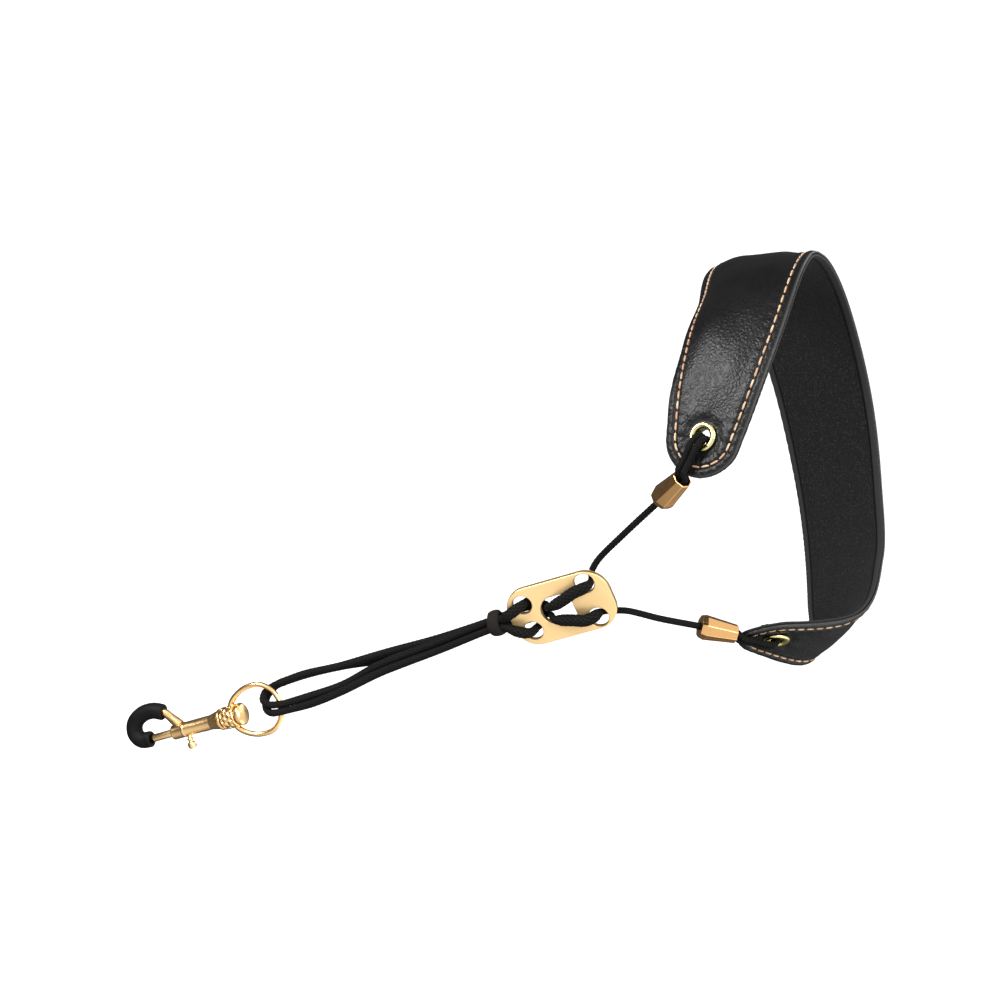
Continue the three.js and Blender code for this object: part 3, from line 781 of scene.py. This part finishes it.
STRANDS = {
    "back_left": ((-3, 3.5, -21.8), [
        (-10.6, -2.6, 160.6), (-9, 0.4, 130), (-9, 1.2, 101), (-8.7, 1.9, 80), (-9.5, 2.5, 62),
    ], (-8.8, 3.4, 48.5)),
    "back_right": ((3, 3.5, -21.8), [
        (-7.2, -2.6, 160.6), (-5.5, 1.4, 130), (-6.1, 3.6, 101), (-8.1, 5.3, 80), (-8.8, 5.9, 62),
    ], (-8.1, 6.6, 48.5)),
    "front_left": ((-3.3, -1.9, -26.9), [
        (-10.6, -6, 160.6), (-7.6, -3.2, 130), (-4.9, -2.2, 101), (-0.6, -1, 80), (0.2, -2, 64),
    ], (0.3, -3.3, 49.5)),
    "front_right": ((0.1, -2.6, -26.9), [
        (-7.2, -6, 160.6), (-4.1, -3.6, 130), (-1.7, -4, 101), (1.8, -4, 80), (3.5, -3.5, 64),
    ], (3.5, -3.4, 49.5)),
}
TURNS = {
    "left": [
        (-8.8, 3.4, 49), (-8.3, 3.4, 44.5), (-6.6, 2.2, 40.2),
        (-3.6, -1.2, 39.9), (-1, -3.2, 43.2), (0.3, -3.3, 50),
    ],
    "right": [
        (-8.1, 6.6, 49), (-7, 6.3, 43.5), (-3.4, 3.9, 39.1),
        (0.6, -0.2, 39.5), (2.9, -3.1, 43.2), (3.5, -3.4, 50),
    ],
}


def build_strand(name, top, via, turn):
    path = spline([on_plate(top), *[on_snap(p) for p in via], on_snap(turn)])
    obj, pts = braid(f"{name}_strand_braid", path, STRAND_D,
                     swell=lambda t: 1 + 0.1 * smoothstep(t, 0.3, 0.5) * (1 - smoothstep(t, 0.88, 0.99)))
    finish_piece(obj, [f"{name}_strand"])
    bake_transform(obj)


def build_turn(side):
    obj, _ = braid(f"{side}_ring_turn_braid", spline([on_snap(p) for p in TURNS[side]]), STRAND_D,
                   swell=lambda t: 1 - 0.15 * smoothstep(t, 0.0, 0.12) * (1 - smoothstep(t, 0.3, 0.6)))
    return finish_piece(obj, [f"{side}_ring_turn_cord"], "hanger")


for side, leg in LEGS.items():
    build_leg(side, leg)
    build_crossing(side, leg)
build_bridge()
for name, (top, via, turn) in STRANDS.items():
    build_strand(name, top, via, turn)
for side in TURNS:
    build_turn(side)


def build_tie(side, leg):
    """Out of the bell, over the front, through the eyelet, and round behind as a bight."""
    point, _, _, n = pad_frame(np.array(EYELETS_S[side]))
    mouth, axis = leg["mouth"], leg["axis"]
    run = mouth - point
    reach = run - n * run.dot(n)
    g = np.linalg.norm(reach)
    a = reach / g
    c = np.cross(n, a)

    def at(x, y, z):
        return point + c * x + a * y + n * z

    def half(k):
        return [
            mouth + c * 1.4 * k + axis * 3, mouth + c * 1.4 * k,
            at(1.45 * k, g - 2.4, 4.9), at(1.45 * k, g - 8, 5.1), at(1.5 * k, 5, 5.5),
            at(1.5 * k, 1.4, 4.6), at(1.5 * k, 0.2, 1.6), at(1.5 * k, 0.7, -1.4),
            at(1.8 * k, 2.4, -2.8), at(2.0 * k, 4.2, -2.6),
        ]
    pts = [*half(1), at(1.6, 6.2, -2.2), at(0, 7.2, -2.1), at(-1.6, 6.2, -2.2), *half(-1)[::-1]]
    obj, _ = braid(f"{side}_tie_braid", spline(pts), TIE_D + 0.25, carriers=3, pitch=2.0, around=24)
    finish_piece(obj, [f"{side}_tie_loop"], "pad")
    knot_at = mouth + axis * 7.1
    lumps = [knot_at + 1.25 * np.array(v) for v in (
        c, a * 0.6 + n * 0.8, -c * 0.9, -a * 0.7 - n * 0.6, c * 0.7 + n * 0.5, a * 0.2)]
    knot, _ = braid(f"{side}_overhand_knot", spline(lumps, closed=True), 2.2, step=0.25)
    finish_piece(knot, [f"{side}_knot"], "pad")


for side, leg in LEGS.items():
    build_tie(side, leg)


def build_keeper():
    """A knitted band round the four strands."""
    centre = np.array(KEEPER_CENTRE)
    around, rows = 150, 26
    a = np.arange(around) / around * TAU
    verts, ridge = [], []
    for j in range(rows * 2):
        outer = j < rows
        t = (j if outer else 2 * rows - 1 - j) / (rows - 1)
        z = -2.7 + 5.4 * t
        bulge = math.sin(math.pi * t) ** 0.4
        knit = np.abs(np.sin(13 * a + 2.6 * math.pi * (z % 1.3) / 1.3) * np.sin(2 * math.pi * z / 1.3))
        rx, ry, out = (4.5, 4.3, 1.1) if outer else (3.95, 3.75, 0.6)
        r = np.hypot(rx * np.cos(a), ry * np.sin(a)) + out * bulge + (0.22 * knit if outer else 0)
        wave = 0.35 * np.sin(2 * a + 0.6)
        verts.append(centre + np.column_stack([r * np.cos(a), r * np.sin(a), z + wave]))
        ridge.append(knit)
    faces = grid_faces(2 * rows, around, wrap=True)
    first = (2 * rows - 1) * around
    faces += [(first + j, first + (j + 1) % around, (j + 1) % around, j) for j in range(around)]
    obj = piece("keeper_band_knit", on_snap(np.vstack(verts)), faces, KEEPER)
    store(obj, "ridge", np.concatenate(ridge))
    return finish_piece(obj, ["cord_keeper_band"], "keeper")


build_keeper()
LEATHER_SKIN = build_leather()
build_lining()
build_stitches()


# ---- metal parts ----
def build_eyelets():
    top = LEATHER_BASE + LEATHER_T
    for side, at in EYELETS_S.items():
        point, _, _, n = pad_frame(np.array(at))
        profile = rounded([
            (EYELET_BORE_R, -1.9), (4.9, -1.9), (5.1, -1.5), (4, -1.45), (4, top - 0.3),
            (5.95, top - 0.3), (5.9, top + 0.35), (5.1, top + 0.75), (4.1, top + 0.65),
            (EYELET_BORE_R, top + 0.1), (EYELET_BORE_R, -1.9),
        ], 0.4, 4)
        verts, faces = lathe(profile[:-1], 72, closed=True)
        obj = piece(f"{side}_eyelet_ring", placed(verts, point, n), faces, EYELET)
        finish_piece(obj, [f"{side}_eyelet"], "pad")
        profile = rounded([(4.35, -0.45), (6.3, -0.45), (6.3, -0.95), (4.35, -1.15), (4.35, -0.45)], 0.15, 3)
        verts, faces = lathe(profile[:-1], 72, closed=True)
        obj = piece(f"{side}_eyelet_washer_ring", placed(verts, point, n), faces, EYELET)
        finish_piece(obj, [f"{side}_eyelet_washer"], "pad")


def soften(obj, width, segments=3, angle=25):
    b = obj.modifiers.new("edges", "BEVEL")
    b.width, b.segments, b.limit_method, b.angle_limit = width * MM, segments, "ANGLE", math.radians(angle)
    b.harden_normals = False
    return obj


def build_bells():
    for side, leg in LEGS.items():
        profile = [
            (3.5, 0), (4.0, 0), (4.15, 0.4), (5.55, 14.2), (4.9, BELL_LENGTH), (2.1, BELL_LENGTH),
            (2.1, 12), (3.9, 10.4), (3.9, 4.8), (3.5, 3.6),
        ]
        verts, faces = lathe(profile, 8, closed=True)
        turn = math.pi / 8
        c, s = math.cos(turn), math.sin(turn)
        verts = verts @ np.array([[c, -s, 0], [s, c, 0], [0, 0, 1]]).T
        verts = placed(verts, leg["mouth"], leg["axis"])
        obj = piece(f"{side}_bell_facets", verts, faces, BRONZE, smooth=False)
        soften(obj, 0.45)
        finish_piece(obj, [f"{side}_cord_bell"], f"{side}_bell")


def arc(cx, cy, r, a0, a1, n):
    t = np.radians(np.linspace(a0, a1, n))
    return [(cx + r * math.cos(v), cy + r * math.sin(v)) for v in t]


def build_plate():
    bevel = 0.45
    w, l, r = PLATE_W / 2, PLATE_L / 2, PLATE_CORNER_R
    outer = (arc(w - r, l - r, r, 0, 90, 16) + arc(-w + r, l - r, r, 90, 180, 16)
             + arc(-w + r, -l + r, r, 180, 270, 16) + arc(w - r, -l + r, r, 270, 360, 16))
    middle = arc(4.9, 4.1, 1.5, 0, 90, 8) + arc(-4.9, 4.1, 1.5, 90, 180, 8) + arc(0, -2.8, 6.4, 180, 360, 32)
    loops = [outer, middle]
    for k in (-1, 1):
        loops.append(arc(k * 8.3, 14, 4.4, 0, 352, 45))
        loops.append(arc(k * 6.4, -15.8, 4.2, 0, 352, 45))
    curve = bpy.data.curves.new("plate_outline", "CURVE")
    curve.dimensions, curve.fill_mode = "2D", "BOTH"
    curve.extrude = (PLATE_T / 2 - bevel) * MM
    curve.bevel_depth, curve.bevel_resolution, curve.offset = bevel * MM, 3, -bevel * MM
    for points in loops:
        sp = curve.splines.new("POLY")
        sp.points.add(len(points) - 1)
        sp.points.foreach_set("co", [v for x, y in points for v in (x * MM, y * MM, 0, 1)])
        sp.use_cyclic_u = True
    source = bpy.data.objects.new("plate_outline", curve)
    bpy.context.scene.collection.objects.link(source)
    bpy.context.view_layer.update()
    mesh = bpy.data.meshes.new_from_object(source.evaluated_get(bpy.context.evaluated_depsgraph_get()))
    bpy.data.objects.remove(source)
    mesh.materials.clear()
    mesh.materials.append(PLATE)
    v = np.array([p.co for p in mesh.vertices]) / MM
    # Painted shade: the plate's side faces (the bevelled rim) are marked here, and the material darkens them.
    rim = np.clip((PLATE_T / 2 - np.abs(v[:, 2])) / bevel, 0, 1)
    v = on_plate(np.column_stack([v[:, 0], -v[:, 2], v[:, 1]])) * MM
    mesh.vertices.foreach_set("co", v.ravel())
    mesh.update()
    obj = bpy.data.objects.new("adjuster_plate_gold", mesh)
    bpy.context.scene.collection.objects.link(obj)
    mesh.shade_smooth()
    mesh.set_sharp_from_angle(angle=math.radians(40))
    store(obj, "painted_shade", rim)
    return finish_piece(obj, ["adjuster_plate"], "adjuster")


HOOK = [
    (-2.6, -5.6), (-6.4, -8.4), (-10.2, -11.6), (-12.3, -16.8), (-12, -22.8), (-9, -27.8),
    (-4.4, -29.3), (-0.8, -27.2), (0.1, -21.8),
]


def snap_piece(name, verts, faces, material, slot, nodes, body, smooth=True):
    obj = piece(name, on_snap(verts), faces, material, smooth)
    return finish_piece(obj, nodes, body)


def joined(*parts):
    """Several closed meshes as one list of points and faces."""
    verts, faces, count = [], [], 0
    for v, f in parts:
        verts.append(np.asarray(v))
        faces += [tuple(i + count for i in face) for face in f]
        count += len(v)
    return np.vstack(verts), faces


def planar(points):
    return np.array([(x, 0, z) for x, z in points], float)


def build_snap():
    half = [(0, 46.9), (6, 45.3), (10.4, 40.4), (11.3, 34.6), (9.8, 28.4), (6, 23.2), (1, 21.2)]
    left = [(-x, z) for x, z in half[1:][::-1]]
    wire = resample(spline(planar([*left, *half])), 0.5)
    t = np.linspace(-1, 1, len(wire))
    ring = sweep(wire, WIRE_R * (1 + 0.12 * smoothstep(np.abs(t), 0.6, 0.95)), 24, start=(0, 1, 0))

    def dimples(a, r, z):
        out = np.zeros_like(a)
        for row, height in enumerate((18.9, 21.05, 23.2)):
            turn = (a * 11 / TAU + 0.5 * (row % 2)) % 1 - 0.5
            side = turn * TAU / 11 * 5.2
            out = np.maximum(out, 0.75 * np.exp(-((side / 0.62) ** 2 + ((z - height) / 0.62) ** 2) ** 1.5))
        return out * (r > 4.5)
    base_profile = dense(rounded([
        (2.1, 17.4), (4.7, 17.4), (5.2, 17.9), (5.25, 24.1), (4.8, 24.6), (2.1, 24.6),
    ], 0.35), 0.22)
    base = lathe(base_profile, 150, dimples, closed=True)
    verts, faces = joined(ring, base)
    # Painted shade: the dimples' depth is stored here, and the material darkens the dimples by it.
    r = np.hypot(base[0][:, 0], base[0][:, 1])
    outside = (r > 4.2) & (np.abs(base[0][:, 2] - 21) < 3.2)
    painted_shade = np.concatenate([np.zeros(len(ring[0])), np.clip((5.1 - r) / 0.3, 0, 1) * outside])
    eye = snap_piece("swivel_eye_ring_gold", verts, faces, SNAP, "snap_gold", ["swivel_eye_ring"], "eye")
    store(eye, "painted_shade", painted_shade)

    rivet = lathe(rounded([
        (0.02, 12.2), (1.7, 12.2), (1.7, 25), (4.75, 25),
        (5.15, 25.5), (5.15, 27.1), (4.2, 28.1), (0.02, 28.4),
    ], 0.3), 64)
    snap_piece("swivel_rivet_gold", *rivet, SNAP, "snap_gold", ["swivel_rivet"], "snap")

    shell_profile = rounded([
        (BOLT_BORE_R, -9.8), (TUBE_R - 0.1, -9.8), (TUBE_R, -9.5), (TUBE_R, -4.4), (TUBE_R + 0.18, -4.1),
        (TUBE_R + 0.18, -3.3), (TUBE_R, -3.0), (TUBE_R, 10.6), (4.5, 15.4), (4.95, 15.7),
        (4.95, 17.0), (2.0, 17.0), (2.0, 11.8), (BOLT_BORE_R, 11.0),
    ], 0.25)
    tube = piece("snap_tube", *lathe(shell_profile, 96, closed=True), SNAP)
    corners = np.array([(x, y, z) for x in (1.5, 6) for y in (-1.35, 1.35) for z in (-4.6, 6.0)])
    sides = [(0, 1, 3, 2), (4, 6, 7, 5), (0, 4, 5, 1), (2, 3, 7, 6), (0, 2, 6, 4), (1, 5, 7, 3)]
    slot_tool = piece("tool", corners, sides, SNAP)
    cutter = tube.modifiers.new("slot", "BOOLEAN")
    cutter.operation, cutter.solver, cutter.object = "DIFFERENCE", "EXACT", slot_tool
    arm_line = resample(spline(planar(HOOK[:4])), 0.5)
    t = np.linspace(0, 1, len(arm_line))
    arm = sweep(arm_line, 2.0 + 0.5 * (1 - smoothstep(t, 0.0, 0.45)), 24, flat=0.86, start=(0, 1, 0))
    hook_line = resample(spline(planar(HOOK))[24 * 3:], 0.5)
    inner = sweep(hook_line, 2.1, 20, start=(0, 1, 0))
    arm_piece = piece("arm", *arm, SNAP)
    inner_piece = piece("inner", *inner, SNAP)
    for other in (arm_piece, inner_piece):
        b = tube.modifiers.new("join", "BOOLEAN")
        b.operation, b.solver, b.object = "UNION", "EXACT", other
    bore = piece("bore", *lathe([(BOLT_BORE_R, -26), (BOLT_BORE_R, 10.5)], 64), SNAP)
    b = tube.modifiers.new("bore", "BOOLEAN")
    b.operation, b.solver, b.object = "DIFFERENCE", "EXACT", bore
    bpy.context.view_layer.update()
    mesh = bpy.data.meshes.new_from_object(tube.evaluated_get(bpy.context.evaluated_depsgraph_get()))
    for o in (tube, slot_tool, arm_piece, inner_piece, bore):
        bpy.data.objects.remove(o)
    mesh.transform(Matrix.Scale(1 / MM, 4))
    v = on_snap(np.array([p.co for p in mesh.vertices])) * MM
    mesh.vertices.foreach_set("co", v.ravel())
    mesh.update()
    mesh.shade_smooth()
    mesh.set_sharp_from_angle(angle=math.radians(38))
    body = bpy.data.objects.new("snap_body_gold", mesh)
    bpy.context.scene.collection.objects.link(body)
    finish_piece(body, ["snap_body"], "snap")

    line = resample(spline(planar(HOOK[2:])), 0.45)
    along = lengths(line)
    total = along[-1]
    end = np.minimum(along, total - along)
    r_out = 3.75 - 0.45 * (1 - np.sqrt(np.clip(1 - (1 - np.minimum(end, 0.9) / 0.9) ** 2, 0, 1)))
    outer_v, outer_f = sweep(line, r_out, 40, start=(0, 1, 0))
    inner_v, inner_f = sweep(line, 2.35, 40, start=(0, 1, 0))
    rows, n = len(line), len(line) * 40
    faces = outer_f[:-2] + [tuple(i + n for i in f)[::-1] for f in inner_f[:-2]]
    for j in range(40):
        k = (j + 1) % 40
        faces.append((k, j, j + n, k + n))
        last = (rows - 1) * 40
        faces.append((last + j, last + k, last + k + n, last + j + n))
    verts = np.vstack([outer_v, inner_v])
    snap_piece("hook_sleeve_rubber", verts, faces, RUBBER, "rubber", ["hook_sleeve"], "snap")

    bolt = lathe(rounded([(0.02, -20.9), (1.5, -20.9), (BOLT_R, -20.4), (BOLT_R, 0.9), (0.02, 0.9)], 0.2), 48)
    snap_piece("snap_bolt_gold", *bolt, SNAP, "snap_gold", ["snap_bolt"], "bolt")
    knob = lathe(rounded([
        (0.02, 2.15), (1.05, 2.15), (1.05, 4.2), (1.5, 4.5), (1.5, 5.0), (1.0, 5.3), (1.0, 6.0), (1.9, 6.5),
        (2.05, 8.2), (1.5, 9.1), (0.02, 9.3),
    ], 0.3), 40)
    v, f = knob
    v = np.column_stack([v[:, 2], v[:, 1], -v[:, 0]]) + np.array((0, 0, -2.6))
    snap_piece("bolt_thumb_knob_gold", v, f, SNAP, "snap_gold", ["bolt_thumb_knob"], "bolt")

    a = np.linspace(0, 1, 340)
    coil = np.column_stack([1.35 * np.cos(a * 8 * math.pi), 1.35 * np.sin(a * 8 * math.pi), 1.6 + a * 8.2])
    verts, faces = sweep(coil, 0.25, 10)
    spring = piece("bolt_spring_wire", on_snap(verts), faces, STEEL)
    finish_piece(spring, ["bolt_spring"])
    near, far = metres([on_snap((0, 0, 1.6)), on_snap((0, 0, 9.8))])
    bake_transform(spring)


build_eyelets()
build_bells()
build_plate()
build_snap()

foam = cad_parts["pad_foam_core"]
foam.data.materials.clear()
foam.data.materials.append(FOAM)


# ---- stage ----
def make_stage():
    m = bpy.data.materials.new("studio_floor")
    m.use_nodes = True
    p = m.node_tree.nodes["Principled BSDF"]
    p.inputs["Base Color"].default_value = (0.9, 0.9, 0.9, 1)
    p.inputs["Roughness"].default_value = 0.9
    corners = np.array([(-1, -1, 0), (1, -1, 0), (1, 1, 0), (-1, 1, 0)]) * FLOOR_HALF + (0, 0, FLOOR_Z)
    floor = piece("floor", corners, [(0, 1, 2, 3)], m)
    floor.visible_glossy = False
    floor.visible_diffuse = False

    world = bpy.data.worlds.new("studio")
    bpy.context.scene.world = world
    world.use_nodes = True
    tree = world.node_tree
    back = tree.nodes["Background"]
    coord = tree.nodes.new("ShaderNodeTexCoord")
    split = tree.nodes.new("ShaderNodeSeparateXYZ")
    ramp = tree.nodes.new("ShaderNodeValToRGB")
    tree.links.new(coord.outputs["Generated"], split.inputs[0])
    half = tree.nodes.new("ShaderNodeMath")
    half.operation = "MULTIPLY_ADD"
    half.inputs[1].default_value = half.inputs[2].default_value = 0.5
    front = tree.nodes.new("ShaderNodeMath")
    front.operation = "MULTIPLY_ADD"
    front.inputs[1].default_value = -0.75
    tree.links.new(split.outputs["Y"], front.inputs[0])
    tree.links.new(split.outputs["Z"], front.inputs[2])
    tree.links.new(front.outputs[0], half.inputs[0])
    tree.links.new(half.outputs[0], ramp.inputs["Fac"])
    stops = [(0.0, 0.1), (0.42, 0.16), (0.6, 0.98), (0.85, 1.0)]
    band = ramp.color_ramp
    while len(band.elements) < len(stops):
        band.elements.new(0.5)
    for element, (at, value) in zip(band.elements, stops):
        element.position = at
        element.color = (value, value, value, 1)
    seen = tree.nodes.new("ShaderNodeMath")
    seen.operation = "MAXIMUM"
    path = tree.nodes.new("ShaderNodeLightPath")
    tree.links.new(ramp.outputs["Color"], seen.inputs[0])
    tree.links.new(path.outputs["Is Camera Ray"], seen.inputs[1])
    tree.links.new(seen.outputs[0], back.inputs["Color"])
    back.inputs["Strength"].default_value = 1.0

    def area(name, place, target, size, power):
        data = bpy.data.lights.new(name, "AREA")
        data.shape, data.size, data.energy = "SQUARE", size, power
        obj = bpy.data.objects.new(name, data)
        bpy.context.scene.collection.objects.link(obj)
        obj.location = place
        obj.rotation_mode = "QUATERNION"
        obj.rotation_quaternion = (Vector(target) - Vector(place)).to_track_quat("-Z", "Y")
        obj.visible_camera = False

    centre = (0, -0.08, -0.1)
    area("key_light", (-1.1, -0.9, 1.1), centre, 0.8, 16)
    area("sheen_light", (-0.66, -0.14, -0.36), (-0.06, -0.1, 0), 0.3, 6.5)
    area("fill_light", (1.3, -1.0, 0.5), centre, 1.0, 6)
    area("rim_light", (0.4, 1.3, 0.9), centre, 0.9, 8)
    sun = bpy.data.lights.new("soft_sun", "SUN")
    sun.energy, sun.angle = 1.6, math.radians(40)
    obj = bpy.data.objects.new("soft_sun", sun)
    bpy.context.scene.collection.objects.link(obj)
    obj.rotation_mode = "QUATERNION"
    obj.rotation_quaternion = Vector((0.5, 0.35, -1.0)).to_track_quat("-Z", "Y")
    bpy.context.scene.view_settings.view_transform = "Standard"


make_stage()
